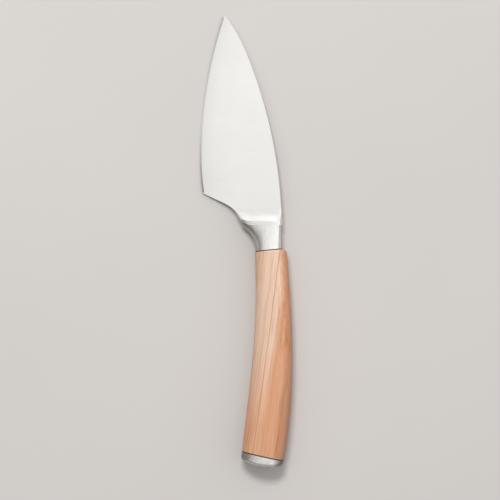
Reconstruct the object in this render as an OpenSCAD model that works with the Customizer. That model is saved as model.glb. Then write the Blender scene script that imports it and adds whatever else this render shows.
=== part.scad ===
// Cheese knife: a broad curved blade, a cast bolster, a curved wooden grip and a steel end cap.
// It is drawn in the knife's own axes and then laid on its side, as it lies on a table.
// Knife axes: +Y to the tip, +X to the spine, +Z through the blade; Y is zero where the bolster ends.

/* [Blade] */
// Radius of the cutting edge in front of its widest place
edge_r = 215; // [208:1:225]
// Radius of the cutting edge behind its widest place
heel_curve_r = 120; // [100:5:160]
// Distance from the bolster's rear end to the widest place of the blade
belly_y = 47; // [45:0.5:50]
// Width of the blade at its widest place
blade_w = 41.6; // [39:0.1:44]
// How far the spine stands out over the side of the bolster's rear end
spine_out = 0.6; // [0.3:0.05:1]
// Distance from the bolster's rear end to where the spine runs parallel to the knife
spine_crown = 8.3; // [7:0.1:10]
// Radius of the spine behind its bend
spine_rear_r = 236; // [215:1:260]
// Radius of the spine in front of its bend, down to the tip
spine_front_r = 87; // [80:1:95]
// Angle through which the rear curve of the spine runs before the front curve takes over
spine_turn = 22.6; // [21:0.1:24]
// Thickness of the blade at its spine
blade_t = 2; // [1.6:0.1:2.4]
// Thickness of the blade just behind the sharpened bevel
edge_t = 0.5; // [0.4:0.05:0.8]
// Width of the sharpened bevel at the belly
bevel_w = 0.9; // [0.6:0.1:1.4]
// Thickness left at the very edge
land_t = 0.1; // [0.05:0.05:0.2]
// Rounding of the tip
tip_r = 1.2; // [0.8:0.1:2]
// Rounding of the heel's corner
heel_r = 0.9; // [0.5:0.1:1.4]
// Slope of the heel's straight stretch
heel_slope = 24.5; // [22:0.5:27]
// Radius of the finger notch between heel and bolster
notch_r = 13; // [12:0.5:14]

/* [Collar] */
// Distance from the bolster's rear end to the collar's rear edge
bolster_l = 12.2; // [11.8:0.1:13.2]
// Length of the collar's rim, from its rear edge to its crest
collar_l = 2; // [1.6:0.1:2.4]
// Length of the hollow sweep that runs up from the blade to the crest
sweep_l = 7; // [6.4:0.1:7.4]
// Thickness through the collar at its crest
collar_t = 9.6; // [9.4:0.1:10.4]
// How far the collar stands out over the bolster on the finger side
finger_lip = 0.2; // [0.15:0.05:0.4]
// How far the collar stands out over the spine
spine_lip = 0.2; // [0.1:0.05:0.4]
// Distance from the bolster's middle to where the collar's rear edge turns towards the blade
crease_out = 7.2; // [6.6:0.1:7.6]
// Radius of that turn, beside the finger notch
crease_r = 9; // [8.4:0.2:10]
// Angle of that turn
crease_turn = 48; // [44:1:50]

/* [Bolster] */
// Width of the bolster at its rear end
bolster_w = 12.6; // [12.2:0.1:13]
// Distance from the bolster's middle to its spine side, at its rear end
spine_half = 6.9; // [6.6:0.1:7.1]
// Thickness of the bolster at its rear end
bolster_t = 13; // [12.4:0.1:13.4]
// Thickness of the bolster at its front end
bolster_front_t = 9; // [8.4:0.1:9.2]
// How much its spine side draws in from the rear end to the front
bolster_taper = 0.4; // [0.3:0.1:0.9]
// Straight stretch of the finger side at the rear end
hollow_start = 0.6; // [0.3:0.1:0.9]
// Radius of the hollow sweep on the finger side
hollow_r = 12; // [11.4:0.1:12.4]
// Slope at which the hollow sweep ends, measured across the knife
hollow_slope = 38; // [36:1:40]
// Straight stretch between that sweep and the front corner
corner_run = 2.2; // [1.9:0.1:2.6]
// Rounding of the front corner on the finger side
corner_r = 3; // [2.6:0.1:3.4]

/* [Grip] */
// Radius of the grip's curved middle line
grip_r = 442; // [420:1:480]
// Distance from the bolster's rear end to the crown of that curve
grip_crown = 34.8; // [32:0.1:38]
// How far the crown lies from the bolster's middle, towards the spine
grip_offset = 2.6; // [2.3:0.1:2.9]
// Length of the wood along its middle line
wood_l = 102.4; // [96:0.1:110]
// Width of the wood at its front end
wood_w = 15.9; // [15.4:0.1:16.8]
// Thickness of the wood at its front end
wood_t = 14; // [13.8:0.1:14.6]
// Width of the wood at its swell
swell_w = 22; // [21:0.1:23]
// Thickness of the wood at its swell
swell_t = 16.6; // [16:0.1:17.4]
// Distance from the front of the wood to its swell
swell_l = 93; // [88:0.5:95]
// How much the grip draws in from its swell to the rear
rear_draw = 0.7; // [0.4:0.1:1]
// Rounding of the wood's front edge on the spine side
shoulder_r = 2; // [1.6:0.1:2.3]
// Rounding of the wood's front edge elsewhere
ease_r = 0.45; // [0.3:0.05:0.6]
// How far the front seam leans from square to the grip
front_lean = 1.3; // [1:0.1:1.8]
// How far the rear seam leans from square to the grip
rear_lean = 3.6; // [3:0.2:4.4]
// Thickness of the fibre spacers at both ends of the wood
spacer_t = 0.5; // [0.4:0.05:0.7]

/* [End cap] */
// Length of the cap along the grip's middle line
cap_l = 5.2; // [4.8:0.1:6.4]
// Radius of its domed end, from side to side
dome_r = 27; // [24:1:34]
// Radius of its domed end, through its thickness
dome_side_r = 40; // [32:1:60]
// Rounding between its side and its domed end
cap_edge_r = 1.2; // [0.8:0.1:1.6]
// Diameter of the boss that enters the wood
boss_d = 9; // [8:0.2:10]
// How far the boss reaches into the wood
boss_l = 5; // [4:0.5:7]
// Wall left between the rod's hole and the cap's domed end
cap_wall = 2.4; // [2:0.1:3]

/* [Tang and rod] */
// Width of the flat tang
tang_w = 8; // [7.6:0.1:8.6]
// Thickness of the flat tang
tang_t = 1.8; // [1.4:0.1:2.2]
// How far the tang reaches behind the bolster
tang_l = 12; // [10:0.5:16]
// Diameter of the threaded rod
rod_d = 5; // [4:0.5:6]
// How far the rod lies from the bolster's middle, towards the edge
rod_offset = 1.2; // [0.6:0.1:1.4]
// Depth of adhesive between tang and wood
bed_t = 0.8; // [0.6:0.1:1]
// How far the adhesive reaches over the rod
bed_l = 3; // [2:0.5:6]

/* [Lying on the table] */
// How far the knife leans onto its cutting edge
rest_roll = 9.2; // [8.4:0.05:10]
// How far it dips towards the tip
rest_pitch = 1.14; // [0.9:0.02:1.3]

/* [Hidden] */
$fn = 96;
// Clearance of soldered and screwed fits
fit_gap = 0.08;
// Rings in the collar's sweep, and the power of its rise
sweep_steps = 12;
sweep_power = 1.6;
// How far the collar's rim stands proud of the bolster behind it
rim_step = 0.1;
// How far the notch bites into the collar's oval
notch_bite = 0.4;
// How much of the seam's turn the collar's crest follows
crest_turn_share = 0.6;
// Overrun of every cut
over = 2;
// Points round a section, sections along the wood, and the powers that fill an oval out
around = 48;
wood_steps = 24;
grip_power = 2.25;
flank_power = 1.8;
spine_power = 3;
wing_power = 2.8;
steel = [0.90, 0.90, 0.89];
cast_steel = [0.80, 0.79, 0.77];
fibre = [0.33, 0.22, 0.16];
cherry = [0.85, 0.64, 0.50];
resin = [0.74, 0.64, 0.42];

// Outline of the bolster's finger side, from the wood to the collar
hollow_c = [-bolster_w / 2 - hollow_r, hollow_start];
hollow_end = hollow_c + hollow_r * [sin(hollow_slope), cos(hollow_slope)];
corner_start = hollow_end + corner_run * [-cos(hollow_slope), sin(hollow_slope)];
corner_c = corner_start + corner_r * [sin(hollow_slope), cos(hollow_slope)];
notch_x = corner_c[0] - corner_r - finger_lip;

// Centres of the blade's curves
crest_y = bolster_l + collar_l;
spine_x = bolster_w / 2 + spine_out;
edge_x = spine_x - blade_w;
spine_rear_c = [spine_x - spine_rear_r, spine_crown];
spine_front_c = spine_rear_c + (spine_rear_r - spine_front_r) * [cos(spine_turn), sin(spine_turn)];
edge_c = [edge_x + edge_r, belly_y];
heel_curve_c = [edge_x + heel_curve_r, belly_y];
tip_c = meet(spine_front_c, spine_front_r - tip_r, edge_c, edge_r - tip_r);
heel_up = [sin(heel_slope), cos(heel_slope)];
notch_c = [notch_x - notch_r, bolster_l - collar_l / 2];
notch_arc = arc(notch_c, notch_r, 90 - heel_slope, 0, 16);
heel_c = left_meet(notch_c + (notch_r + heel_r) * heel_up, heel_slope, heel_curve_c, heel_curve_r - heel_r);
crease_c = [-crease_out, bolster_l + crease_r];
crest_left = crest_end(notch_x, 12);

// The grip's middle line: an arc about a centre far out on the edge's side
grip_c = [grip_offset - grip_r, -grip_crown];
front_angle = asin(grip_crown / grip_r);
seam_x = grip_at(0)[0];
wood_end = spacer_t + wood_l;
cap_start = wood_end + spacer_t;
cap_end = cap_start + cap_l;
cap_half_w = (swell_w - rear_draw) / 2;
cap_half_t = (swell_t - rear_draw) / 2;
boss_y = grip_at(wood_end)[1] + boss_l;
rod_end = grip_at(cap_end)[1] + cap_wall;
reach = tip_c[1] - grip_at(cap_end)[1];

// Outermost points of the knife as it lies: along the bevel, round the wood, at the tip and at the end
edge_points = [
    for (p = arc(edge_c, edge_r - bevel_w, bearing(edge_c, tip_c), 180, 22)) turned([p[0], p[1], -edge_t / 2])
];
shoulder_shares = [0, 0.05, 0.15, 0.3, 0.5, 0.75];
wood_places = concat(
    [for (share = shoulder_shares) share * shoulder_r],
    [for (i = [0 : wood_steps]) shoulder_r + (wood_l - shoulder_r) * i / wood_steps]
);
wood_points = [for (d = wood_places, p = wood_section(d)) turned(p)];
outer_points = concat(edge_points, wood_points, [turned([edge_x, belly_y, 0])]);
tip_point = turned([tip_c[0], tip_c[1] + tip_r, 0]);
end_point = turned([grip_at(cap_end)[0], grip_at(cap_end)[1], 0]);

// Middle of the knife, and how far it is lifted onto the table
mid_x = (min([for (p = outer_points) p[0]]) + max([for (p = outer_points) p[0]])) / 2;
mid_y = (tip_point[1] + end_point[1]) / 2;
rest_lift = -min([for (p = outer_points) p[2]]);

// Power that keeps the sign, for ovals
function signed_power(v, p) = sign(v) * pow(abs(v), p);

// Rise from 0 to 1 that starts at a slope of a half and ends level
function swell_rise(x) = x / 2 + 2 * x * x - 1.5 * x * x * x;

// Drop of a quarter circle of radius r at distance d from its end
function round_drop(d, r) = d >= r ? 0 : r - sqrt(r * r - (r - d) * (r - d));

// Fall of a dome of radius r at distance d from its middle
function dome_fall(d, r) = r - sqrt(r * r - d * d);

// Points of an arc about c
function arc(c, r, from, to, steps) =
    [for (i = [0 : steps]) let (a = from + (to - from) * i / steps) c + r * [cos(a), sin(a)]];

// Direction from a to b, from 0 to 360 degrees
function bearing(a, b) = (atan2(b[1] - a[1], b[0] - a[0]) + 360) % 360;

// Where two circles meet, on the side of the tip
function meet(a, ra, b, rb) =
    let (d = norm(b - a), u = (b - a) / d, along = (ra * ra - rb * rb + d * d) / (2 * d))
    a + along * u + sqrt(ra * ra - along * along) * [-u[1], u[0]];

// Where a line that falls to the right at a slope meets a circle, on its left side
function left_meet(p, slope, c, r) =
    let (dir = [cos(slope), -sin(slope)], foot = p + ((c - p) * dir) * dir, off = norm(c - foot))
    foot - sqrt(r * r - off * off) * dir;

// Place on the grip's middle line, and its cross direction, at a distance behind the bolster
function grip_angle(s) = front_angle - s * 180 / (PI * grip_r);
function grip_at(s) = grip_c + grip_r * [cos(grip_angle(s)), sin(grip_angle(s))];

// Width or thickness of the wood at a distance behind its front end
function wood_size(d, front, swell) =
    d < swell_l ? front + (swell - front) * swell_rise(d / swell_l)
                : swell - rear_draw * pow((d - swell_l) / (wood_l - swell_l), 2);

// Finger side and spine side of the bolster at a distance in front of its rear end, the seam's turn,
// and where the crest meets the notch, closer with every turn of the search
function notch_at(y) = notch_c[0] + sqrt(max(0, notch_r * notch_r - pow(y - notch_c[1], 2)));
function finger_side(y) =
    y < hollow_c[1] ? -bolster_w / 2
    : y < hollow_end[1] ? hollow_c[0] + sqrt(hollow_r * hollow_r - pow(y - hollow_c[1], 2))
    : y < corner_start[1] ? hollow_end[0] - (y - hollow_end[1]) / tan(hollow_slope)
    : y < corner_c[1] ? corner_c[0] - sqrt(corner_r * corner_r - pow(corner_c[1] - y, 2))
    : notch_at(y) + finger_lip;
function seam_rise(x) =
    let (out = -x - crease_out, run = crease_r * sin(crease_turn))
    out < 0 ? 0
    : out < run ? crease_r - sqrt(crease_r * crease_r - out * out)
    : crease_r - crease_r * cos(crease_turn) + (out - run) * tan(crease_turn);
function crest_end(x, turns) =
    turns == 0 ? x : crest_end(notch_at(crest_y + crest_turn_share * seam_rise(x)), turns - 1);
function spine_side(y) = spine_half - bolster_taper * min(1, y / bolster_l);

// Oval section in an upright plane through p that runs across the knife in a direction;
// it reaches from one u to another and is thickest at a third, mid
function section(p, direction, from, mid, to, half_t, left_power = grip_power, right_power = grip_power) =
    [for (i = [0 : around - 1])
        let (a = 360 * i / around,
             power = cos(a) < 0 ? left_power : right_power,
             u = mid + (cos(a) < 0 ? mid - from : to - mid) * signed_power(cos(a), 2 / power),
             z = half_t * signed_power(sin(a), 2 / power))
        [p[0] + u * cos(direction), p[1] + u * sin(direction), z]];

// Rear face of the bolster, which the front spacer repeats
function rear_face(s) =
    section(grip_at(s), grip_angle(s) + front_lean,
            -bolster_w / 2 - seam_x, -seam_x, spine_half - seam_x, bolster_t / 2);

// Section of the wood at a distance d behind its front end
function wood_section(d) =
    let (half_w = wood_size(d, wood_w, swell_w) / 2,
         half_t = wood_size(d, wood_t, swell_t) / 2,
         s = spacer_t + d,
         lean = rear_lean * pow(d / wood_l, 4) - front_lean * pow(1 - d / wood_l, 4))
    section(grip_at(s), grip_angle(s) - lean, round_drop(d, ease_r) - half_w, 0,
            half_w - round_drop(d, shoulder_r), half_t - round_drop(d, ease_r));

// Front face of the cap, against the rear spacer
function cap_front() =
    section(grip_at(cap_start), grip_angle(cap_start) - rear_lean, -cap_half_w, 0, cap_half_w, cap_half_t);

// Ring on the cap's end, forward of its dome by an edge and drawn in by an inset
function cap_ring(edge, inset, share = 1) =
    let (half_w = (cap_half_w - inset) * share, half_t = (cap_half_t - inset) * share)
    [for (p = section([0, 0], 0, -half_w, 0, half_w, half_t))
        let (s = cap_end - edge - dome_fall(p[0], dome_r) - dome_fall(p[2], dome_side_r),
             middle = grip_at(s))
        [middle[0] + p[0] * cos(grip_angle(s)), middle[1] + p[0] * sin(grip_angle(s)), p[2]]];

// Point of the knife after it has leaned over and dipped
function turned(p) =
    let (x = p[0] * cos(rest_roll) - p[2] * sin(rest_roll),
         z = p[0] * sin(rest_roll) + p[2] * cos(rest_roll))
    [x, p[1] * cos(rest_pitch) + z * sin(rest_pitch), z * cos(rest_pitch) - p[1] * sin(rest_pitch)];

// Solid through a list of sections that run from front to rear
module loft(rings) {
    last = len(rings) - 1;
    first_hub = len(rings) * around;
    points = [for (ring = rings) each ring, centre(rings[0]), centre(rings[last])];
    side = [for (k = [0 : last - 1], i = [0 : around - 1])
        let (j = (i + 1) % around, a = k * around, b = a + around)
        each [[a + i, b + i, a + j], [a + j, b + i, b + j]]];
    ends = [for (i = [0 : around - 1])
        let (j = (i + 1) % around, b = last * around)
        each [[i, j, first_hub], [b + j, b + i, first_hub + 1]]];
    polyhedron(points, concat(side, ends), convexity = 4);
}
function centre(ring) = [for (axis = [0 : 2]) [for (p = ring) p[axis]] * [for (p = ring) 1] / len(ring)];

// The knife leans over until its cutting edge meets the table
module laid() {
    translate([-mid_x, -mid_y, rest_lift])
        rotate([-rest_pitch, 0, 0])
            rotate([0, -rest_roll, 0])
                children();
}

// Everything behind the seam between the blade's collar and the bolster
module behind_seam() {
    turn_end = crease_c + crease_r * [-sin(crease_turn), -cos(crease_turn)];
    side_end = turn_end + over * [-cos(crease_turn), sin(crease_turn)];
    linear_extrude(height = reach, center = true)
        polygon([
            [reach, -reach], [reach, bolster_l], [-crease_out, bolster_l],
            each arc(crease_c, crease_r, 270, 270 - crease_turn, 12),
            side_end, [-reach, side_end[1]], [-reach, -reach]
        ]);
}

// Flat sheet of the blade, before its faces and edge are ground
module blade_blank() {
    crown = bearing(spine_rear_c, [spine_x, bolster_l]);
    linear_extrude(height = blade_t * 2, center = true)
        polygon([
            [spine_x, notch_c[1]],
            each arc(spine_rear_c, spine_rear_r, crown, spine_turn, 20),
            each arc(spine_front_c, spine_front_r, spine_turn, bearing(spine_front_c, tip_c), 12),
            each arc(tip_c, tip_r, bearing(spine_front_c, tip_c), bearing(edge_c, tip_c), 12),
            each arc(edge_c, edge_r, bearing(edge_c, tip_c), 180, 22),
            each arc(heel_curve_c, heel_curve_r, 180, bearing(heel_curve_c, heel_c), 12),
            each arc(heel_c, heel_r, bearing(heel_curve_c, heel_c), 270 - heel_slope, 8),
            each notch_arc
        ]);
}

// Wedge between the two ground faces, thick at the spine and thin at the edge
module ground_faces() {
    grind = (blade_t - edge_t) / blade_w / 2;
    from = edge_x - over;
    to = spine_x + over;
    from_half = edge_t / 2 - over * grind;
    to_half = blade_t / 2 + over * grind;
    rotate([90, 0, 0])
        linear_extrude(height = reach * 2, center = true)
            polygon([[from, -from_half], [to, -to_half], [to, to_half], [from, from_half]]);
}

// Waste that is ground away above one curve of the cutting edge, between two angles about its centre
module bevel_waste(c, r, from, to) {
    rise = (edge_t - land_t) / 2 / bevel_w;
    depth = bevel_w * 5;
    translate([c[0], c[1], 0])
        rotate([0, 0, from])
            rotate_extrude(angle = to - from, $fn = 360)
                polygon([
                    [r - depth, land_t / 2 + depth * rise],
                    [r + over, land_t / 2 - over * rise],
                    [r + over, blade_t * 2],
                    [r - depth, blade_t * 2]
                ]);
}

// Collar: a sweep up from the blade's faces to a crest, and a rim that falls back to the bolster
module collar() {
    low = blade_t / 3;
    rings = concat(
        [for (k = [0 : sweep_steps])
            let (t = k / sweep_steps)
            collar_ring(crest_y + sweep_l * (1 - t), low + (collar_t / 2 - low) * pow(t, sweep_power))],
        [collar_ring(notch_c[1], bolster_front_t / 2 + rim_step)]
    );
    difference() {
        loft(rings);
        linear_extrude(height = collar_t * 2, center = true)
            polygon([notch_c, heel_c - heel_r * heel_up, each notch_arc]);
    }
}
function collar_ring(y, half_t) =
    let (out = min(1, 2 * half_t / collar_t) * 2 * spine_lip - spine_lip,
         left = notch_at(y + crest_turn_share * seam_rise(crest_left)) - notch_bite)
    [for (p = section([0, y], 0, left, 0, spine_x + out, half_t, wing_power, spine_power))
        [p[0], p[1] + crest_turn_share * seam_rise(p[0] * crest_left / left), p[2]]];

// Flat tang behind the collar, grown by a gap on request
module tang(grow = 0) {
    width = tang_w + 2 * grow;
    thickness = tang_t + 2 * grow;
    length = crest_y + tang_l;
    translate([-width / 2, -tang_l, -thickness / 2]) cube([width, length, thickness]);
}

// Straight bar parallel to the tang, on the rod's line, between two places along the knife
module on_rod_line(diameter, from_y, to_y) {
    translate([-rod_offset, to_y, 0])
        rotate([90, 0, 0])
            cylinder(d = diameter, h = to_y - from_y);
}

// Pocket in the front of the wood that the adhesive fills
module socket() {
    width = tang_w + 2 * bed_t;
    thickness = rod_d + 2 * bed_t;
    translate([-width / 2, -tang_l - bed_l, -thickness / 2]) cube([width, tang_l + bed_l + over, thickness]);
}

// Wood before its holes are bored: close sections over the rounded front edge, then even ones
module wood_blank() {
    loft([for (d = wood_places) wood_section(d)]);
}

module blade() {
    color(steel) laid() {
        difference() {
            union() {
                difference() {
                    intersection() {
                        blade_blank();
                        ground_faces();
                    }
                    for (face = [0, 1]) mirror([0, 0, face]) {
                        bevel_waste(edge_c, edge_r, 90, 180);
                        bevel_waste(heel_curve_c, heel_curve_r, 180, 225);
                    }
                }
                collar();
            }
            behind_seam();
        }
        tang();
    }
}

module bolster() {
    front = crest_y + sweep_l;
    low_steps = 12;
    rings = concat(
        [for (i = [0 : 8]) bolster_ring(front - (front - corner_start[1]) * i / 8)],
        [for (i = [1 : low_steps]) bolster_ring(corner_start[1] * (1 - i / low_steps))]
    );
    color(cast_steel) laid()
        difference() {
            intersection() {
                loft(rings);
                behind_seam();
            }
            tang(fit_gap);
        }
}
function bolster_ring(y) =
    let (share = min(1, y / bolster_l),
         half_t = (bolster_t + (bolster_front_t - bolster_t) * share) / 2,
         powers = [for (power = [flank_power, spine_power]) grip_power + (power - grip_power) * share],
         turn = (front_angle + front_lean) * max(0, 1 - y / hollow_end[1]))
    section([seam_x, y], turn, finger_side(y) - seam_x, -seam_x, spine_side(y) - seam_x, half_t,
            powers[0], powers[1]);

module front_spacer() {
    color(fibre) laid()
        difference() {
            loft([rear_face(0), rear_face(spacer_t)]);
            tang(fit_gap);
        }
}

module handle() {
    color(cherry) laid()
        difference() {
            wood_blank();
            socket();
            on_rod_line(rod_d + 2 * fit_gap, -reach, -tang_l);
            on_rod_line(boss_d + 2 * fit_gap, -reach, boss_y);
        }
}

module rear_spacer() {
    color(fibre) laid()
        difference() {
            loft([wood_section(wood_l), cap_front()]);
            on_rod_line(boss_d + 2 * fit_gap, -reach, boss_y);
        }
}

module end_cap() {
    rings = concat(
        [cap_front()],
        [for (a = [0 : 15 : 75]) cap_ring(cap_edge_r * (1 - sin(a)), cap_edge_r * (1 - cos(a)))],
        [for (share = [1 : -0.2 : 0.2]) cap_ring(0, cap_edge_r, share)]
    );
    color(cast_steel) laid()
        difference() {
            union() {
                loft(rings);
                on_rod_line(boss_d, rod_end, boss_y);
            }
            on_rod_line(rod_d + 2 * fit_gap, rod_end, boss_y + over);
        }
}

module tang_rod() {
    color(steel) laid() on_rod_line(rod_d, rod_end, -tang_l);
}

module tang_adhesive() {
    color(resin) laid()
        difference() {
            intersection() {
                wood_blank();
                socket();
            }
            tang();
            on_rod_line(rod_d, -reach, -tang_l);
        }
}

blade();
bolster();
front_spacer();
handle();
rear_spacer();
end_cap();
tang_rod();
tang_adhesive();
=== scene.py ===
import math

import bmesh
import bpy
from mathutils import Matrix, Vector
from mathutils.geometry import intersect_line_sphere_2d, intersect_sphere_sphere_2d


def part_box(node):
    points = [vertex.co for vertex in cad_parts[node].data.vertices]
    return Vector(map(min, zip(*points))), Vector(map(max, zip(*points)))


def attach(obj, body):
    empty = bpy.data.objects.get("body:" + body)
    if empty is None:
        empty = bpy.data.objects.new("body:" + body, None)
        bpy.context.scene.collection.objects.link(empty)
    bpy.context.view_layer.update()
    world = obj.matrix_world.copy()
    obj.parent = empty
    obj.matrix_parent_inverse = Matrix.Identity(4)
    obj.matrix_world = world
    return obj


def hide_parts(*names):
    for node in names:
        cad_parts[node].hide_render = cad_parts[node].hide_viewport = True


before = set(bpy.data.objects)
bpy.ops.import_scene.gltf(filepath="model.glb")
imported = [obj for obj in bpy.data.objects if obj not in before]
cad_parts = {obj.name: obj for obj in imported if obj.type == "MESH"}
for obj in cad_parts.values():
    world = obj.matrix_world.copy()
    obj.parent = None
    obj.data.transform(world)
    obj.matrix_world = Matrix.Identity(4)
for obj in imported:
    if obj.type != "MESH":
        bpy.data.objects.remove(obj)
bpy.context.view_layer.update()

# Tang rod: a plain steel rod that runs straight back inside the wood from the blade's stub tang.
# The grip bends round it along one long arc, and its end is screwed into the cap. It gives the
# whole knife its place: leaned over onto its cutting edge and tipped a little towards the point.
mm = 0.001
lean_over = math.radians(9.2)
tip_down = math.radians(1.14)
tang_l = 12.0
rod_offset = 1.2
grip_r = 442.0
grip_crown = 34.8
crown_x = 2.6
grip_middle = Vector((crown_x - grip_r, -grip_crown))
front_turn = math.asin(grip_crown / grip_r)
wood_l = 102.4
spacer_t = 0.5
cap_l = 5.2
cap_wall = 2.4
cap_start = wood_l + 2 * spacer_t
cap_end = cap_start + cap_l


def grip_turn(back):
    """Direction from the long arc's middle to the grip's line, at a distance behind the bolster."""
    return front_turn - back / grip_r


def grip_at(back):
    """Point of the grip's line at a distance behind the bolster."""
    turn = grip_turn(back)
    return grip_middle + grip_r * Vector((math.cos(turn), math.sin(turn)))


tilt = Matrix.Rotation(-tip_down, 4, "X") @ Matrix.Rotation(-lean_over, 4, "Y")
rod_low, rod_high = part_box("tang_rod")
rod_middle = Vector((-rod_offset, (grip_at(cap_end).y + cap_wall - tang_l) / 2, 0)) * mm
knife_place = (rod_low + rod_high) / 2 - tilt @ rod_middle
lay_down = Matrix.Translation(knife_place) @ tilt @ Matrix.Scale(mm, 4)


def plain_nodes(name):
    """A new material with its node tree, and the principled shader in it."""
    mat = bpy.data.materials.new(name)
    mat.use_nodes = True
    shader = mat.node_tree.nodes["Principled BSDF"]
    return mat, mat.node_tree, shader


def metal_nodes(name):
    """A new metal, as plain_nodes gives it."""
    mat, tree, shader = plain_nodes(name)
    shader.inputs["Metallic"].default_value = 1.0
    return mat, tree, shader


def knife_axes(tree):
    """A place in metres on the knife's own axes: x to the spine, y to the tip, z through the blade."""
    where = tree.nodes.new("ShaderNodeTexCoord")
    turned = tree.nodes.new("ShaderNodeMapping")
    turned.vector_type = "TEXTURE"
    turned.inputs["Location"].default_value = knife_place
    turned.inputs["Rotation"].default_value = tilt.to_euler()
    tree.links.new(where.outputs["Object"], turned.inputs["Vector"])
    return turned.outputs["Vector"]


def stretched_noise(tree, axes, stretch, detail=2.0, rough=0.5):
    """Noise drawn out along an axis: stretch gives how many grains fit in a metre along each axis."""
    sized = tree.nodes.new("ShaderNodeVectorMath")
    sized.operation = "MULTIPLY"
    sized.inputs[1].default_value = stretch
    noise = tree.nodes.new("ShaderNodeTexNoise")
    noise.inputs["Scale"].default_value = 1.0
    noise.inputs["Detail"].default_value = detail
    noise.inputs["Roughness"].default_value = rough
    tree.links.new(axes, sized.inputs[0])
    tree.links.new(sized.outputs[0], noise.inputs["Vector"])
    return noise.outputs["Fac"]


def ramp(tree, value, stops):
    """A colour ramp over a value, from (place, colour) stops. A colour that is one number is a grey."""
    node = tree.nodes.new("ShaderNodeValToRGB")
    bar = node.color_ramp
    while len(bar.elements) < len(stops):
        bar.elements.new(0.5)
    for element, (place, colour) in zip(bar.elements, stops):
        element.position = place
        element.color = (*(colour if isinstance(colour, tuple) else (colour,) * 3), 1)
    tree.links.new(value, node.inputs["Fac"])
    return node.outputs["Color"]


def map_range(tree, value, low, high, to_low=0.0, to_high=1.0):
    """A value whose range from low to high is drawn out to another one, and held at its ends."""
    node = tree.nodes.new("ShaderNodeMapRange")
    for name, number in zip(("From Min", "From Max", "To Min", "To Max"), (low, high, to_low, to_high)):
        node.inputs[name].default_value = number
    tree.links.new(value, node.inputs["Value"])
    return node.outputs["Result"]


def linear(red, green, blue):
    """A colour as it looks on the screen, from 11 to 255, in the linear numbers that a shader takes."""
    return tuple(((c / 255 + 0.055) / 1.055) ** 2.4 for c in (red, green, blue))


def two_tone(tree, noise, dark, pale, dark_to=0.3, pale_from=0.7):
    """A finish that goes from a dark colour to a pale one as the noise rises."""
    return ramp(tree, noise, [(dark_to, dark), (pale_from, pale)])


drawn_dark, drawn_pale = linear(168, 167, 165), linear(190, 189, 187)
drawn_smooth, drawn_rough = 0.3, 0.45
rod_steel, tree, shader = metal_nodes("drawn_rod_steel")
turning = stretched_noise(tree, knife_axes(tree), (900, 60, 900))
tree.links.new(two_tone(tree, turning, drawn_dark, drawn_pale), shader.inputs["Base Color"])
tree.links.new(map_range(tree, turning, 0, 1, drawn_smooth, drawn_rough), shader.inputs["Roughness"])
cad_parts["tang_rod"].data.materials.clear()
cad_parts["tang_rod"].data.materials.append(rod_steel)

# Tang adhesive: the resin that fills the pocket round the tang and the front of the rod.
# It is cast in place when the bolster is pushed on, and is amber where it would ever be seen.
resin_dark, resin_pale = linear(176, 150, 92), linear(206, 182, 124)
resin, tree, shader = plain_nodes("amber_resin")
cloud = stretched_noise(tree, knife_axes(tree), (120, 120, 120), 3.0)
tree.links.new(two_tone(tree, cloud, resin_dark, resin_pale), shader.inputs["Base Color"])
shader.inputs["Roughness"].default_value = 0.35
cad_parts["tang_adhesive"].data.materials.clear()
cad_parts["tang_adhesive"].data.materials.append(resin)

# Blade: a broad sheet of stainless steel, ground to a wedge from the spine down to the edge, with
# a narrow bevel whetted along the curved edge. Its heel is cut away by a round notch for a finger,
# and it is brushed across, from the spine to the edge.
bolster_l = 12.2
bolster_w = 12.6
blade_w = 41.6
blade_t = 2.0
edge_t = 0.5
bevel_w = 0.9
land_t = 0.1
spine_edge_r = 0.18
belly_y = 47.0
spine_out = 0.6
spine_x = bolster_w / 2 + spine_out
edge_x = spine_x - blade_w
tip_r = 1.2
heel_r = 0.9
heel_slope = math.radians(24.5)
spine_turn = math.radians(22.6)
spine_rear_y = 8.3
spine_rear_r, spine_front_r, edge_r, heel_curve_r, notch_r = 236.0, 87.0, 215.0, 120.0, 13.0
spine_rear = Vector((spine_x - spine_rear_r, spine_rear_y))
spine_way = Vector((math.cos(spine_turn), math.sin(spine_turn)))
spine_front = spine_rear + (spine_rear_r - spine_front_r) * spine_way
edge_middle = Vector((edge_x + edge_r, belly_y))
heel_middle = Vector((edge_x + heel_curve_r, belly_y))
tip_middle = max(
    intersect_sphere_sphere_2d(spine_front, spine_front_r - tip_r, edge_middle, edge_r - tip_r),
    key=lambda p: p.y
)

# The bolster's finger hollow and its front corner, which the notch in the heel carries on.
hollow_r, corner_r, corner_run = 12.0, 3.0, 2.2
hollow_y = 0.6
hollow_slope = math.radians(38)
finger_lip = 0.2
notch_set_back = 1
hollow_up = Vector((math.sin(hollow_slope), math.cos(hollow_slope)))
hollow_out = Vector((-math.cos(hollow_slope), math.sin(hollow_slope)))
hollow_middle = Vector((-bolster_w / 2 - hollow_r, hollow_y))
hollow_end = hollow_middle + hollow_r * hollow_up
corner_start = hollow_end + corner_run * hollow_out
corner_middle = corner_start + corner_r * hollow_up
notch_x = corner_middle.x - corner_r - finger_lip
notch_middle = Vector((notch_x - notch_r, bolster_l - notch_set_back))
heel_up = Vector((math.sin(heel_slope), math.cos(heel_slope)))
heel_down = Vector((math.cos(heel_slope), -math.sin(heel_slope)))
heel_line = notch_middle + (notch_r + heel_r) * heel_up
heel_reach = 60
heel_far = heel_line - heel_reach * heel_down
heel_corner = min(
    (p for p in intersect_line_sphere_2d(heel_far, heel_line, heel_middle, heel_curve_r - heel_r) if p),
    key=lambda p: p.x
)

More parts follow.
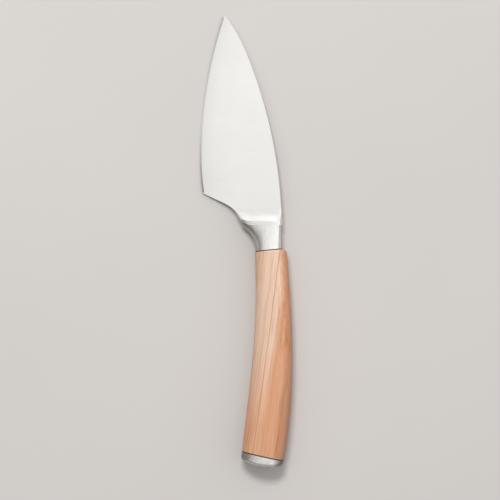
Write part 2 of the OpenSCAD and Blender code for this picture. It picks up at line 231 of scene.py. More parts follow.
# The crease in which the seam behind the collar turns up beside the notch.
crease_out, crease_r, crease_turn = 7.2, 9.0, math.radians(48)
crease_reach = 30
crease_middle = Vector((-crease_out, bolster_l + crease_r))
crease_end = crease_middle - crease_r * Vector((math.sin(crease_turn), math.cos(crease_turn)))
crease_way = Vector((-math.cos(crease_turn), math.sin(crease_turn)))
crease_far = crease_end + crease_reach * crease_way
crease_tip = max(
    (p for p in intersect_line_sphere_2d(crease_end, crease_far, notch_middle, notch_r) if p),
    key=lambda p: p.x
)


def bearing(a, b):
    """Direction from one point to another, as an angle from 0 up to a full turn."""
    return math.atan2(b.y - a.y, b.x - a.x) % (2 * math.pi)


def blade_half(x):
    """Half the thickness of the ground sheet at a distance from the bolster's middle."""
    return (edge_t + (blade_t - edge_t) * (x - edge_x) / blade_w) / 2


def turn_from(middle, point, start, way):
    """How far round from an arc's start a point is, signed with the arc's way."""
    slack = 0.5
    turn = (math.atan2(point.y - middle.y, point.x - middle.x) - start) * way
    return ((turn + slack) % (2 * math.pi) - slack) * way


def draw_arc(bm, middle, radius, start, end, steps):
    """Spins one point about a curve's middle and gives the points from start to end."""
    begin = (middle.x + radius * math.cos(start), middle.y + radius * math.sin(start), 0)
    first = bmesh.ops.create_vert(bm, co=begin)
    bmesh.ops.spin(bm, geom=first["vert"], cent=(middle.x, middle.y, 0), axis=(0, 0, 1),
                   angle=end - start, steps=steps)
    way = 1 if end > start else -1
    drawn = (v for v in bm.verts if not v.tag)
    return sorted(drawn, key=lambda v: way * turn_from(middle, v.co, start, way))


def finish_mesh(name, bm, sharp, material, slot, *nodes):
    """Lays a piece down with the knife, gives it its finish and lets it stand for its solids.

    Edges that turn by more degrees than sharp are left sharp.
    """
    merge_gap, sliver = 0.0005, 0.0002
    bmesh.ops.remove_doubles(bm, verts=bm.verts, dist=merge_gap)
    bmesh.ops.dissolve_degenerate(bm, dist=sliver, edges=bm.edges)
    bmesh.ops.recalc_face_normals(bm, faces=bm.faces)
    mesh = bpy.data.meshes.new(name)
    bm.to_mesh(mesh)
    bm.free()
    mesh.transform(lay_down)
    mesh.shade_smooth()
    mesh.set_sharp_from_angle(angle=math.radians(sharp))
    mesh.materials.append(material)
    piece = bpy.data.objects.new(name, mesh)
    bpy.context.scene.collection.objects.link(piece)
    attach(piece, "root")
    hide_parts(*nodes)
    return piece


outline = bmesh.new()
loop = []
weld_gap = 0.001
front_bearing = bearing(spine_front, tip_middle)
tip_bearing = bearing(edge_middle, tip_middle)
heel_bearing = bearing(heel_middle, heel_corner)
for middle, radius, start, end, steps in (
    (spine_rear, spine_rear_r, bearing(spine_rear, Vector((spine_x, bolster_l))), spine_turn, 48),
    (spine_front, spine_front_r, spine_turn, front_bearing, 40),
    (tip_middle, tip_r, front_bearing, tip_bearing, 14),
    (edge_middle, edge_r, tip_bearing, math.pi, 64),
    (heel_middle, heel_curve_r, math.pi, heel_bearing, 20),
    (heel_corner, heel_r, heel_bearing, 1.5 * math.pi - heel_slope, 10),
    (notch_middle, notch_r, math.pi / 2 - heel_slope, bearing(notch_middle, crease_tip), 24),
    (crease_middle, crease_r, 1.5 * math.pi - crease_turn, 1.5 * math.pi, 16),
):
    points = draw_arc(outline, middle, radius, start, end, steps)
    for v in points:
        v.tag = True
    if loop:
        outline.edges.new((loop[-1], points[0]))
    loop += points
outline.edges.new((loop[-1], loop[0]))
bmesh.ops.remove_doubles(outline, verts=outline.verts, dist=weld_gap)
flat = bmesh.ops.edgeloop_fill(outline, edges=outline.edges)["faces"]
bmesh.ops.inset_region(outline, faces=flat, thickness=bevel_w, use_even_offset=True, use_boundary=True)
rim = [e for e in outline.edges if e.is_boundary]
wall = bmesh.ops.extrude_edge_only(outline, edges=rim)["geom"]
foot = {v for v in wall if isinstance(v, bmesh.types.BMVert)}


def on_edge(v):
    """Whether a point of the outline is on the cutting edge."""
    near, belly_slack = 0.02, 0.1
    from_edge = abs((Vector(v.co.xy) - edge_middle).length - edge_r)
    from_heel = abs((Vector(v.co.xy) - heel_middle).length - heel_curve_r)
    ahead, behind = v.co.y >= belly_y - belly_slack, v.co.y < belly_y
    return (ahead and from_edge < near) or (behind and from_heel < near)


for v in outline.verts:
    if v in foot:
        v.co.z = 0.0
    elif any(e in rim for e in v.link_edges) and on_edge(v):
        v.co.z = land_t / 2
    else:
        v.co.z = blade_half(v.co.x)
for f in outline.faces:
    if len(f.verts) == 4 and sum(on_edge(v) for v in f.verts) > 1:
        f.material_index = 1
spine_rims = [e for e in rim if not any(on_edge(v) for v in e.verts)]
bmesh.ops.bevel(outline, geom=spine_rims, offset=spine_edge_r, offset_type="OFFSET", segments=3,
                profile=0.5, affect="EDGES", clamp_overlap=True, material=-1)
bmesh.ops.mirror(outline, geom=outline.verts[:] + outline.edges[:] + outline.faces[:], axis="Z",
                 merge_dist=weld_gap)


def mix_node(tree, blend, first, second):
    """A node that blends two colours. Its sockets 6 and 7 take them, and output 2 gives the blend."""
    node = tree.nodes.new("ShaderNodeMix")
    node.data_type = "RGBA"
    node.blend_type = blend
    tree.links.new(first, node.inputs[6])
    tree.links.new(second, node.inputs[7])
    return node


def multiplied(tree, first, second):
    """One colour multiplied by another."""
    node = mix_node(tree, "MULTIPLY", first, second)
    node.inputs["Factor"].default_value = 1.0
    return node.outputs[2]


def apart(tree, axes):
    """The three coordinates of a place, each on its own."""
    node = tree.nodes.new("ShaderNodeSeparateXYZ")
    tree.links.new(axes, node.inputs[0])
    return node.outputs


def distance_from(tree, axes, centre):
    """Distance in the knife's plane, in metres, from a curve's middle that is given in millimetres."""
    place = apart(tree, axes)
    level = tree.nodes.new("ShaderNodeCombineXYZ")
    tree.links.new(place["X"], level.inputs["X"])
    tree.links.new(place["Y"], level.inputs["Y"])
    between = tree.nodes.new("ShaderNodeVectorMath")
    between.operation = "DISTANCE"
    between.inputs[1].default_value = (centre.x * mm, centre.y * mm, 0)
    tree.links.new(level.outputs[0], between.inputs[0])
    return between.outputs["Value"]


def bumped(tree, shader, height, depth):
    """Relief of a given depth in metres on a shader."""
    bump = tree.nodes.new("ShaderNodeBump")
    bump.inputs["Strength"].default_value = 1.0
    bump.inputs["Distance"].default_value = depth
    tree.links.new(height, bump.inputs["Height"])
    tree.links.new(bump.outputs["Normal"], shader.inputs["Normal"])


# Painted shade: the ground face is painted a little darker along the cutting edge, which lies on the
# table, and beside the collar.
brushed_dark, brushed_pale = linear(237, 236, 234), linear(246, 245, 243)
brushed_smooth, brushed_rough = 0.3, 0.38
brush_depth = 0.000002
ground_band = 18
collar_shade_y, face_light_y = 0.025, 0.09
brushed_steel, tree, shader = metal_nodes("cross_brushed_steel")
axes = knife_axes(tree)
brushing = stretched_noise(tree, axes, (60, 5200, 60), 3.0, 0.6)
cloud = stretched_noise(tree, axes, (40, 70, 40))
finish = two_tone(tree, brushing, brushed_dark, brushed_pale, 0.25, 0.75)
from_edge = distance_from(tree, axes, edge_middle)
inward = map_range(tree, from_edge, edge_r * mm, (edge_r - ground_band) * mm)
# Painted shade, darkest at the cutting edge.
ground = ramp(tree, inward, [(0.0, 0.85), (0.14, 0.92), (0.4, 0.97), (1.0, 1.0)])
# Painted shade beside the collar.
forward = map_range(tree, apart(tree, axes)["Y"], collar_shade_y, face_light_y)
shaded = multiplied(tree, ground, ramp(tree, forward, [(0.0, 0.93), (1.0, 1.0)]))
tree.links.new(multiplied(tree, finish, shaded), shader.inputs["Base Color"])
roughness = map_range(tree, cloud, 0.2, 0.8, brushed_smooth, brushed_rough)
tree.links.new(roughness, shader.inputs["Roughness"])
bumped(tree, shader, brushing, brush_depth)

# Painted shade: the bevel is painted dark towards the heel and lightens to bright steel towards the
# tip. It meets the flat in an edge that turns only a little.
heel_shade_y, bright_y = 0.03, 0.09
bevel_sharp = 8
whetted_steel, tree, shader = metal_nodes("whetted_steel")
axes = knife_axes(tree)
scratches = stretched_noise(tree, axes, (900, 9000, 900))
finish = two_tone(tree, scratches, 0.85, 1.0)
# Painted shade along the bevel, darkest at the heel.
bevel_heel_shade = ramp(tree, map_range(tree, apart(tree, axes)["Y"], heel_shade_y, bright_y), [
    (0.0, linear(180, 178, 175)), (0.25, linear(220, 218, 216)), (0.5, linear(250, 249, 248)),
    (1.0, linear(253, 252, 251))])
tree.links.new(multiplied(tree, finish, bevel_heel_shade), shader.inputs["Base Color"])
shader.inputs["Roughness"].default_value = 0.4
blade = finish_mesh("blade_ground", outline, bevel_sharp, brushed_steel, "blade_steel", "blade")
blade.data.materials.append(whetted_steel)

# Collar: forged in one with the blade. The steel sweeps up from the blade's faces to a rounded
# crest and a smooth rim, oval like the bolster behind it, and turns up beside the finger notch.
crest_l = 2
crest_y = bolster_l + crest_l
sweep_l = 7.0
sweep_steps = 24
collar_t = 9.6
bolster_front_t = 9.0
spine_lip = 0.2
rim_step = 0.1
crest_ease = 0.02
sweep_power = 1.6
grip_power, flank_power, spine_power, wing_power = 2.25, 1.8, 3.0, 2.8
crest_share = 0.6
overreach = 0.1
side_gain = 12
sunk = 0.03
crest_half = collar_t / 2
rim_half = bolster_front_t / 2 + rim_step
loft_points = 96


def notch_at(y):
    """Where the finger notch has its side."""
    return notch_middle.x + math.sqrt(max(0, notch_r ** 2 - (y - notch_middle.y) ** 2))


def seam_rise(x):
    """How far the seam between collar and bolster has turned up towards the blade."""
    out = -x - crease_out
    run = crease_r * math.sin(crease_turn)
    if out < 0:
        return 0.0
    if out < run:
        return crease_r - math.sqrt(crease_r ** 2 - out ** 2)
    return crease_r - crease_r * math.cos(crease_turn) + (out - run) * math.tan(crease_turn)


def oval(turn, start, middle, end, half_t, left_power=grip_power, right_power=grip_power):
    """Point of a full oval at an angle: how far across the knife it is, and how high."""
    power = left_power if math.cos(turn) < 0 else right_power
    reach = middle - start if math.cos(turn) < 0 else end - middle
    across = middle + reach * math.copysign(abs(math.cos(turn)) ** (2 / power), math.cos(turn))
    return across, half_t * math.copysign(abs(math.sin(turn)) ** (2 / power), math.sin(turn))


def lofted(sections):
    """Draws one loop and extrudes it through the sections, each a function from an angle to a point."""
    bm = bmesh.new()
    turn = bm.verts.layers.float.new("turn")
    verts = bmesh.ops.create_circle(bm, segments=loft_points, radius=1)["verts"]
    for v in verts:
        v[turn] = math.atan2(v.co.y, v.co.x)
    edges = bm.edges[:]
    first = edges
    for place, section in enumerate(sections):
        if place:
            made = bmesh.ops.extrude_edge_only(bm, edges=edges)["geom"]
            verts = [g for g in made if isinstance(g, bmesh.types.BMVert)]
            edges = [g for g in made if isinstance(g, bmesh.types.BMEdge) and g.is_boundary]
        for v in verts:
            v.co = section(v[turn])
    bmesh.ops.edgeloop_fill(bm, edges=first)
    bmesh.ops.edgeloop_fill(bm, edges=edges)
    return bm


# The crest turns up by a share of the seam's rise. Its end is where it meets the notch, which a few
# rounds settle. A ring overreaches the notch a little and is then held on it, and the first rings
# are sunk just under the blade's faces.
settling_rounds = 12
crest_left = notch_x
for _ in range(settling_rounds):
    crest_left = notch_at(crest_y + crest_share * seam_rise(crest_left))


def collar_section(y, lift, height, at_seam=False, inset=0.0):
    """One ring of the collar: lift blends it from the blade's face to a full oval of some height."""
    lip = min(1, height / crest_half * lift) * 2 * spine_lip - spine_lip
    left = notch_at(y + crest_share * seam_rise(crest_left)) - overreach

    def point(turn):
        across, up = oval(turn, left, 0, spine_x + lip, height, wing_power, spine_power)
        side = math.copysign(min(1, abs(math.sin(turn)) * side_gain), math.sin(turn))
        face = side * (blade_half(across) - sunk)
        along = y + crest_share * seam_rise(across * crest_left / left)
        seam_y = bolster_l + seam_rise(across)
        along = seam_y if at_seam else max(along, seam_y)
        across = max(across, notch_at(along))
        up = face + (up - face) * lift
        return Vector((across * (1 - inset), along, up * (1 - inset)))

    return point


collar_sections = []
for step in range(sweep_steps + 1):
    share = step / sweep_steps
    ahead = sweep_l * (1 - share)
    collar_sections.append(collar_section(crest_y + ahead, share ** sweep_power, crest_half))
for back, height, at_seam, inset in (
    (0.25, crest_half - crest_ease, False, 0),
    (1.7, rim_half + crest_ease, False, 0),
    (crest_l, rim_half, True, 0),
    (crest_l, rim_half, True, 0.12),
):
    collar_sections.append(collar_section(crest_y - back, 1, height, at_seam, inset))

forged_dark, forged_pale = linear(226, 225, 223), linear(235, 234, 232)
forged_smooth, forged_rough = 0.24, 0.34
satin_depth = 0.000003
steel_sharp = 40
satin_steel, tree, shader = metal_nodes("satin_forged_steel")
brushing = stretched_noise(tree, knife_axes(tree), (120, 1500, 120))
tree.links.new(two_tone(tree, brushing, forged_dark, forged_pale), shader.inputs["Base Color"])
tree.links.new(map_range(tree, brushing, 0, 1, forged_smooth, forged_rough), shader.inputs["Roughness"])
bumped(tree, shader, brushing, satin_depth)
finish_mesh("blade_collar", lofted(collar_sections), steel_sharp, satin_steel, "blade_steel", "blade")

# Bolster: a cast steel ferrule, oval behind and drawn out flat towards the notch in front, with
# a hollow under the first finger. It is pushed over the tang against the collar and polished with it.
bolster_t = 13.0
bolster_taper = 0.4
spine_half = 6.9
front_lean = math.radians(1.3)
seam_x = grip_at(0).x
bolster_steps = 40
seam_search_l = 9
halvings = 40


def finger_side(y):
    """Where the bolster has its finger side: straight, hollow, slope, corner, and then the notch."""
    if y < hollow_middle.y:
        return -bolster_w / 2
    if y < hollow_end.y:
        return hollow_middle.x + math.sqrt(hollow_r ** 2 - (y - hollow_middle.y) ** 2)
    if y < corner_start.y:
        return hollow_end.x - (y - hollow_end.y) / math.tan(hollow_slope)
    if y < corner_middle.y:
        return corner_middle.x - math.sqrt(corner_r ** 2 - (corner_middle.y - y) ** 2)
    return notch_at(y) + finger_lip


def swung(x, y, across, swing, up):
    """A point some way across the knife, on a line that is swung about the place x, y."""
    return Vector((x + across * math.cos(swing), y + across * math.sin(swing), up))


def bolster_point(y, turn):
    """Point of the bolster's skin at an angle round it, from the section that stands at y."""
    share = min(1, y / bolster_l)
    half_t = (bolster_t + (bolster_front_t - bolster_t) * share) / 2
    left, right = (grip_power + (power - grip_power) * share for power in (flank_power, spine_power))
    swing = (front_turn + front_lean) * max(0, 1 - y / hollow_end.y)
    spine_side = spine_half - bolster_taper * share
    across, up = oval(turn, finger_side(y) - seam_x, -seam_x, spine_side - seam_x, half_t, left, right)
    return swung(seam_x, y, across, swing, up)


def bolster_end(turn):
    """Section at which one line along the bolster's skin runs into the seam."""
    near, far = 0.0, bolster_l + seam_search_l
    for _ in range(halvings):
        y = (near + far) / 2
        p = bolster_point(y, turn)
        if p.y < bolster_l + seam_rise(p.x):
            near = y
        else:
            far = y
    return near


def worked_out(tree, operation, *values):
    """What a math node makes of values that are numbers or other nodes' outputs."""
    node = tree.nodes.new("ShaderNodeMath")
    node.operation = operation
    for socket, value in zip(node.inputs, values):
        if isinstance(value, float):
            socket.default_value = value
        else:
            tree.links.new(value, socket)
    return node.outputs[0]


def added(tree, first, second, share):
    """One value with a share of another one added."""
    return worked_out(tree, "MULTIPLY_ADD", second, share, first)


bolster_sections = [
    lambda turn, share=step / bolster_steps: bolster_point(share * bolster_end(turn), turn)
    for step in range(bolster_steps + 1)
]

# Painted shade: it is painted grey on the finger side, up to a slanting line, and on the flank below
# the spine side, where the steel turns down and mirrors the shaded table.
cast_dark, cast_pale = linear(221, 219, 216), linear(231, 229, 227)
cast_smooth, cast_rough = 0.2, 0.3
flank_slope, flank_height = 0.42, 0.6
grey_flank, bright_flank = -0.0042, 0.0002
brow_height = -0.6
bright_brow, grey_brow = 0.0054, 0.0066
cast_steel, tree, shader = metal_nodes("satin_cast_steel")
axes = knife_axes(tree)
brushing = stretched_noise(tree, axes, (1500, 160, 1500))
finish = two_tone(tree, brushing, cast_dark, cast_pale)
side = apart(tree, axes)
height = worked_out(tree, "ABSOLUTE", side["Z"])
flank = added(tree, added(tree, side["X"], side["Y"], flank_slope), height, flank_height)
# Painted shade on the finger side, up to a slanting line.
finger_side_shade = ramp(tree, map_range(tree, flank, grey_flank, bright_flank), [
    (0.0, (0.57, 0.555, 0.54)), (0.62, (0.65, 0.635, 0.62)), (0.82, (0.84, 0.83, 0.82)), (1.0, 1.0)])
# Painted shade on the flank below the spine side.
brow = map_range(tree, added(tree, side["X"], height, brow_height), bright_brow, grey_brow)
spine_flank_shade = ramp(tree, brow, [(0.0, 1.0), (1.0, (0.26, 0.25, 0.24))])
shaded = multiplied(tree, finger_side_shade, spine_flank_shade)
tree.links.new(multiplied(tree, finish, shaded), shader.inputs["Base Color"])
tree.links.new(map_range(tree, brushing, 0, 1, cast_smooth, cast_rough), shader.inputs["Roughness"])
bumped(tree, shader, brushing, satin_depth)
finish_mesh("bolster_cast", lofted(bolster_sections), steel_sharp, cast_steel, "cast_steel", "bolster")

# Wood: one piece of straight-grained cherry, swelling towards the rear, oval all along. It is bored
# for the rod, turned over a little at its front corners, more at the spine's, and oiled.
wood_w, wood_t = 15.9, 14.0
swell_w, swell_t, swell_l = 22.0, 16.6, 93.0
rear_draw = 0.7
shoulder_r, ease_r = 2.0, 0.45
rear_lean = math.radians(3.6)
shoulder_steps, long_steps = 15, 72
end_share = 0.9


def wood_size(back, front, swell):
    """Width or thickness behind the front end: a cubic that ends level, then drawn in a little."""
    if back > swell_l:
        return swell - rear_draw * ((back - swell_l) / (wood_l - swell_l)) ** 2
    share = back / swell_l
    return front + (swell - front) * (share / 2 + 2 * share ** 2 - 1.5 * share ** 3)


def round_drop(back, radius):
    """How far a rounded corner still lies under the full size, at a distance from the end."""
    return 0.0 if back >= radius else radius - math.sqrt(radius ** 2 - (radius - back) ** 2)


def across_grip(back, lean, start, middle, end, half_t):
    """A section through the grip's line, at a distance behind the bolster, leaned over a little."""
    centre = grip_at(back)
    swing = grip_turn(back) - lean

    def point(turn):
        across, up = oval(turn, start, middle, end, half_t)
        return swung(centre.x, centre.y, across, swing, up)

    return point


def wood_section(back, shrink=1.0):
    """A section of the wood at a distance behind its front end."""
    half_w = wood_size(back, wood_w, swell_w) / 2
    half_t = wood_size(back, wood_t, swell_t) / 2
    lean = rear_lean * (back / wood_l) ** 4 - front_lean * (1 - back / wood_l) ** 4
    return across_grip(spacer_t + back, lean, (round_drop(back, ease_r) - half_w) * shrink, 0,
                       (half_w - round_drop(back, shoulder_r)) * shrink,
                       (half_t - round_drop(back, ease_r)) * shrink)


wood_sections = [wood_section(0, end_share)]
for step in range(shoulder_steps + 1):
    turn = math.radians(90 * step / shoulder_steps)
    wood_sections.append(wood_section(shoulder_r * (1 - math.cos(turn))))
for step in range(1, long_steps + 1):
    wood_sections.append(wood_section(shoulder_r + (wood_l - shoulder_r) * step / long_steps))
wood_sections.append(wood_section(wood_l, end_share))


def turned_axes(tree, axes, degrees):
    """The knife's axes turned in its plane, for a grain that runs slantwise."""
    turned = tree.nodes.new("ShaderNodeMapping")
    turned.inputs["Rotation"].default_value = (0, 0, math.radians(degrees))
    tree.links.new(axes, turned.inputs["Vector"])
    return turned.outputs["Vector"]


def mixed(tree, share, first, second):
    """Two colours mixed, with a share of the second one from 0 to 1."""
    node = mix_node(tree, "MIX", first, second)
    tree.links.new(share, node.inputs["Factor"])
    return node.outputs[2]


# The year rings lie nearly along the grip, slanted, bent and swaying, and through its thickness.
ring_slope, ring_bend, ring_depth, ring_sway = -0.105, 0.25, 0.1, 0.0009
ring_first, ring_last = -0.00655, 0.02745
grain_slant = 7.5
cherry, tree, shader = plain_nodes("oiled_cherry")
axes = knife_axes(tree)
along_grain = turned_axes(tree, axes, grain_slant)
grain = stretched_noise(tree, along_grain, (1500, 14, 1500), 4.0, 0.65)
streaks = stretched_noise(tree, along_grain, (420, 7, 420), 3.0, 0.6)
sway = stretched_noise(tree, along_grain, (60, 12, 60), 1.0)
pores = stretched_noise(tree, along_grain, (2300, 60, 2300))
place = apart(tree, axes)
bend = worked_out(tree, "MULTIPLY", place["Y"], place["Y"])
rings = place["X"]
for part, share in (
    (place["Y"], ring_slope), (bend, ring_bend), (place["Z"], ring_depth), (sway, ring_sway)
):
    rings = added(tree, rings, part, share)
ring_share = map_range(tree, rings, ring_first, ring_last)

# Seven tones make up the wood. Both boards have the same thin dark line. The pale one is sapwood
# up to past the line and heartwood after it, and the red one is heartwood with two light bands.
sap_edge_and_shade, sapwood, light_band = linear(208, 170, 142), linear(222, 191, 170), linear(216, 168, 136)
heartwood, deep_wood = linear(206, 152, 118), linear(192, 138, 106)
outer_wood_and_shade, dark_line = linear(178, 127, 98), linear(190, 140, 108)
line_at, line_half = 0.4235, 0.0125
# The pale board's first, darker tone lies along the grip's finger side. It is partly the sapwood's own
# tone and partly painted shade.
pale_board = ramp(tree, ring_share, [
    (0.0, sap_edge_and_shade), (0.25, sapwood), (line_at - line_half, sapwood), (line_at, dark_line),
    (line_at + line_half, sapwood), (0.49, sapwood), (0.57, heartwood), (0.9, deep_wood)])
red_board = ramp(tree, ring_share, [
    (0.3, heartwood), (0.37, light_band), (line_at - line_half, light_band), (line_at, dark_line),
    (line_at + line_half, light_band), (0.55, heartwood), (0.7, heartwood), (0.75, light_band),
    (0.8, heartwood), (0.9, deep_wood)])

# The grip is redder towards the rear. Along the outer side of its bend it is darker and redder still:
# partly the wood's own heartwood, partly painted shade where that side turns down. Both changes wander
# with the streaks.
pale_y, red_y = -0.045, -0.09
pale_share, red_share, streak_share = -0.25, 0.75, 0.5
grip_line = grip_r * mm
outer_first, outer_last = grip_line + 0.0052, grip_line + 0.0112
outer_from, outer_full = grip_line + 0.0056, grip_line + 0.0074
streak_wander = 0.0015
rearward = map_range(tree, place["Y"], pale_y, red_y, pale_share, red_share)
rear_share = added(tree, rearward, streaks, streak_share)
beside = added(tree, distance_from(tree, axes, grip_middle), streaks, streak_wander)
# Partly the wood's redder heartwood and partly painted shade where the outer side turns down.
outer_board_and_shade = ramp(tree, map_range(tree, beside, outer_first, outer_last), [
    (0.0, light_band), (0.33, heartwood), (0.6, deep_wood), (1.0, outer_wood_and_shade)])
outer_share = map_range(tree, beside, outer_from, outer_full)
board = mixed(tree, rear_share, pale_board, red_board)
board = mixed(tree, outer_share, board, outer_board_and_shade)

# Streaks and fine grain darken it in long lines, and the pores in short flecks.
streak_tone, grain_tone = 0.55, 0.45
hard_rough, soft_rough = 0.44, 0.56
grain_depth = 0.00003
wood_sharp = 50
tone = ramp(tree, added(tree, map_range(tree, streaks, 0, 1, 0, streak_tone), grain, grain_tone), [
    (0.36, (0.72, 0.62, 0.54)), (0.46, (0.92, 0.88, 0.84)), (0.56, 1.0)])
flecks = ramp(tree, pores, [
    (0.3, (0.85, 0.79, 0.74)), (0.42, (0.97, 0.96, 0.95)), (0.5, 1.0), (0.7, 1.03)])
board = multiplied(tree, multiplied(tree, board, tone), flecks)
tree.links.new(board, shader.inputs["Base Color"])
tree.links.new(map_range(tree, grain, 0.3, 0.7, soft_rough, hard_rough), shader.inputs["Roughness"])
shader.inputs["Specular IOR Level"].default_value = 0.4
bumped(tree, shader, grain, grain_depth)
finish_mesh("grip_cherry", lofted(wood_sections), wood_sharp, cherry, "cherry_wood", "handle")

# Fibre spacers: two thin sheets of dark vulcanised fibre, one at each end of the wood, pressed
# between it and the steel as the rod is screwed home, and ground flush with what they touch.


def front_spacer_section(back):
    """A section of the front spacer, which has the outline of the bolster's rear end."""
    return across_grip(back, -front_lean, -bolster_w / 2 - seam_x, -seam_x, spine_half - seam_x,
                       bolster_t / 2)


def cap_halves(inset, share):
    """Half the cap's width and half its thickness, drawn in by an inset and then to a share."""
    return (((size - rear_draw) / 2 - inset) * share for size in (swell_w, swell_t))


def cap_section(back, inset, lean, share=1.0):
    """A flat section of the cap, at a distance behind the bolster."""
    half_w, half_t = cap_halves(inset, share)
    return across_grip(back, lean, -half_w, 0, half_w, half_t)


fibre_dark, fibre_pale = linear(52, 36, 28), linear(84, 62, 48)
fibre_depth = 0.00002
fibre_sharp = 40
fibre, tree, shader = plain_nodes("dark_fibre")
fleck = stretched_noise(tree, knife_axes(tree), (1800, 1800, 1800))
tree.links.new(two_tone(tree, fleck, fibre_dark, fibre_pale), shader.inputs["Base Color"])
shader.inputs["Roughness"].default_value = 0.6
bumped(tree, shader, fleck, fibre_depth)
for name, sections, node in (
    ("front_fibre", [front_spacer_section(0), front_spacer_section(spacer_t)], "front_spacer"),
    ("rear_fibre", [wood_section(wood_l), cap_section(cap_start, 0, rear_lean)], "rear_spacer"),
):
    finish_mesh(name, lofted(sections), fibre_sharp, fibre, "fibre", node)

# End cap: cast in the same steel as the bolster, with a low dome behind and a rounded rim. It is
# screwed onto the rod's end, closes the grip, and is brushed slantwise.
cap_edge_r = 1.2
cap_chamfer = 0.12
dome_r, dome_side_r = 27.0, 40.0
edge_steps, dome_steps = 12, 20
cap_reach = 11


def round_fall(distance, radius):
    """How far a round dome has fallen at a distance from its top."""
    return radius - math.sqrt(radius ** 2 - distance ** 2)


def cap_ring(edge, inset, share=1.0):
    """A ring on the cap's domed end: each point is as far forward of it as the dome has fallen."""
    half_w, half_t = cap_halves(inset, share)

    def point(turn):
        across, up = oval(turn, -half_w, 0, half_w, half_t)
        back = cap_end - edge - round_fall(across, dome_r) - round_fall(up, dome_side_r)
        centre = grip_at(back)
        return swung(centre.x, centre.y, across, grip_turn(back), up)

    return point


cap_sections = [cap_section(cap_start, 0, rear_lean, end_share),
                cap_section(cap_start, cap_chamfer, rear_lean),
                cap_section(cap_start + cap_chamfer, 0, rear_lean)]
for step in range(edge_steps + 1):
    turn = math.radians(90 * step / edge_steps)
    cap_sections.append(cap_ring(cap_edge_r * (1 - math.sin(turn)), cap_edge_r * (1 - math.cos(turn))))
for step in range(dome_steps - 1, 0, -1):
    cap_sections.append(cap_ring(0, cap_edge_r, step / dome_steps))

# Painted shade: it is painted darker at both ends of its width, where it turns down towards the table.
cap_dark, cap_pale = linear(194, 191, 188), linear(218, 215, 213)
cap_smooth, cap_rough = 0.2, 0.34
cap_slant = -35
cap_depth = 0.000004
brushed_cast, tree, shader = metal_nodes("slant_brushed_cast_steel")
axes = knife_axes(tree)
brushing = stretched_noise(tree, turned_axes(tree, axes, cap_slant), (260, 2600, 260))
finish = two_tone(tree, brushing, cap_dark, cap_pale, 0.34, 0.64)
from_middle = distance_from(tree, axes, grip_middle)
over = map_range(tree, from_middle, (grip_r - cap_reach) * mm, (grip_r + cap_reach) * mm)
# Painted shade at both ends of the cap's width.
ends = ramp(tree, over, [(0.0, 0.3), (0.1, 0.4), (0.2, 1.0), (0.8, 1.0), (0.89, 0.45), (1.0, 0.2)])
tree.links.new(multiplied(tree, finish, ends), shader.inputs["Base Color"])
tree.links.new(map_range(tree, brushing, 0, 1, cap_smooth, cap_rough), shader.inputs["Roughness"])
bumped(tree, shader, brushing, cap_depth)
finish_mesh("cap_cast", lofted(cap_sections), steel_sharp, brushed_cast, "cast_steel", "end_cap")

# The table: a plain pale sheet, wide enough to fill the view, at the height that the knife lies on.
# It is dull, and shows only the knife's shadow.
table_half_w = 3.0
table_z = -0.00002
table = bmesh.new()
bmesh.ops.create_grid(table, x_segments=1, y_segments=1, size=table_half_w)
bmesh.ops.translate(table, verts=table.verts, vec=(0, 0, table_z))
table_mesh = bpy.data.meshes.new("table")
table.to_mesh(table_mesh)
table.free()
floor = bpy.data.objects.new("table", table_mesh)
bpy.context.scene.collection.objects.link(floor)
paper_dark, paper_pale = linear(197, 193, 190), linear(200, 196, 193)
paper, tree, shader = plain_nodes("pale_paper")
where = tree.nodes.new("ShaderNodeTexCoord")
cloud = stretched_noise(tree, where.outputs["Object"], (6, 6, 6))
tree.links.new(two_tone(tree, cloud, paper_dark, paper_pale), shader.inputs["Base Color"])
shader.inputs["Roughness"].default_value = 0.9
shader.inputs["Specular IOR Level"].default_value = 0.1
table_mesh.materials.append(paper)

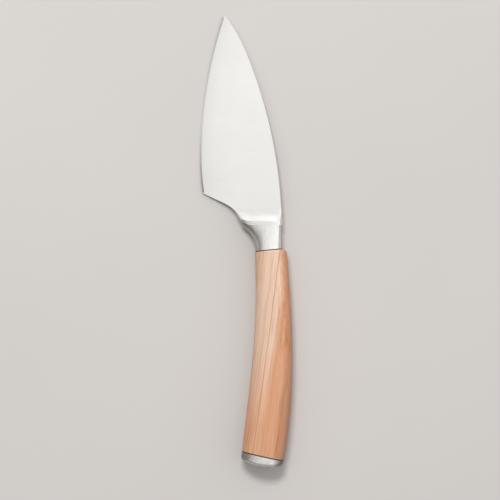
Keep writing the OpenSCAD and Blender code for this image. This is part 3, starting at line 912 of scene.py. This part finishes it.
# Studio light: a pale dome, dark low on the finger side and low behind the cap, and brightest low
# beyond the tip. The steel sees it brighter than the table does. One broad lamp high up beyond the
# tip, which the steel doesn't show, draws the soft shadow.
table_light, steel_light = 2.3, 3.3
world = bpy.data.worlds.new("pale_dome")
world.use_nodes = True
tree = world.node_tree
background = tree.nodes["Background"]
way = tree.nodes.new("ShaderNodeTexCoord")
parts = apart(tree, way.outputs["Generated"])
dome_across = ramp(tree, map_range(tree, parts["X"], -1, 1), [
    (0.0, (0.14, 0.133, 0.126)), (0.08, (0.29, 0.285, 0.275)), (0.18, (0.47, 0.467, 0.46)),
    (0.3, (0.62, 0.62, 0.615)), (0.5, 0.69), (0.8, 0.74), (0.985, 0.74), (1.0, 0.7)])
dome_along = ramp(tree, map_range(tree, parts["Y"], -1, 1), [
    (0.0, (0.2, 0.197, 0.193)), (0.2, (0.3, 0.297, 0.292)), (0.4, (0.47, 0.468, 0.465)),
    (0.5, (0.53, 0.53, 0.528)), (0.65, (0.525, 0.525, 0.523)), (0.8, 0.485), (0.87, 0.467),
    (0.93, 0.47), (0.965, 0.53), (1.0, 0.8)])
dome = tree.nodes.new("ShaderNodeVectorMath")
dome.operation = "MULTIPLY"
tree.links.new(dome_across, dome.inputs[0])
tree.links.new(dome_along, dome.inputs[1])
tree.links.new(dome.outputs[0], background.inputs["Color"])
ray = tree.nodes.new("ShaderNodeLightPath")
tree.links.new(map_range(tree, ray.outputs["Is Glossy Ray"], 0, 1, table_light, steel_light),
               background.inputs["Strength"])
bpy.context.scene.world = world

lamp = bpy.data.lights.new("broad_lamp", "AREA")
lamp.shape = "RECTANGLE"
lamp.size = 0.45
lamp.size_y = 0.3
lamp.energy = 11.6
lamp_object = bpy.data.objects.new("broad_lamp", lamp)
lamp_at = Vector((-0.12, 0.6, 1.25))
lamp_turn = lamp_at.to_track_quat("Z", "Y").to_matrix().to_4x4()
lamp_object.matrix_world = Matrix.Translation(lamp_at) @ lamp_turn
lamp_object.visible_glossy = False
bpy.context.scene.collection.objects.link(lamp_object)
bpy.context.scene.view_settings.view_transform = "Standard"

# Camera: straight above the knife and far off, as the photograph was taken, at the distance from
# which the view is a quarter of a metre wide at the knife's own height.
view_w = 0.25
lens_l, sensor_w = 250, 36
view_x, view_y, view_z = 0.00195, -0.00455, 0.0065
camera = bpy.data.cameras.new("above")
camera.lens = lens_l
camera.sensor_width = sensor_w
above = bpy.data.objects.new("above", camera)
above.location = (view_x, view_y, view_z + view_w * lens_l / sensor_w)
bpy.context.scene.collection.objects.link(above)
bpy.context.scene.camera = above
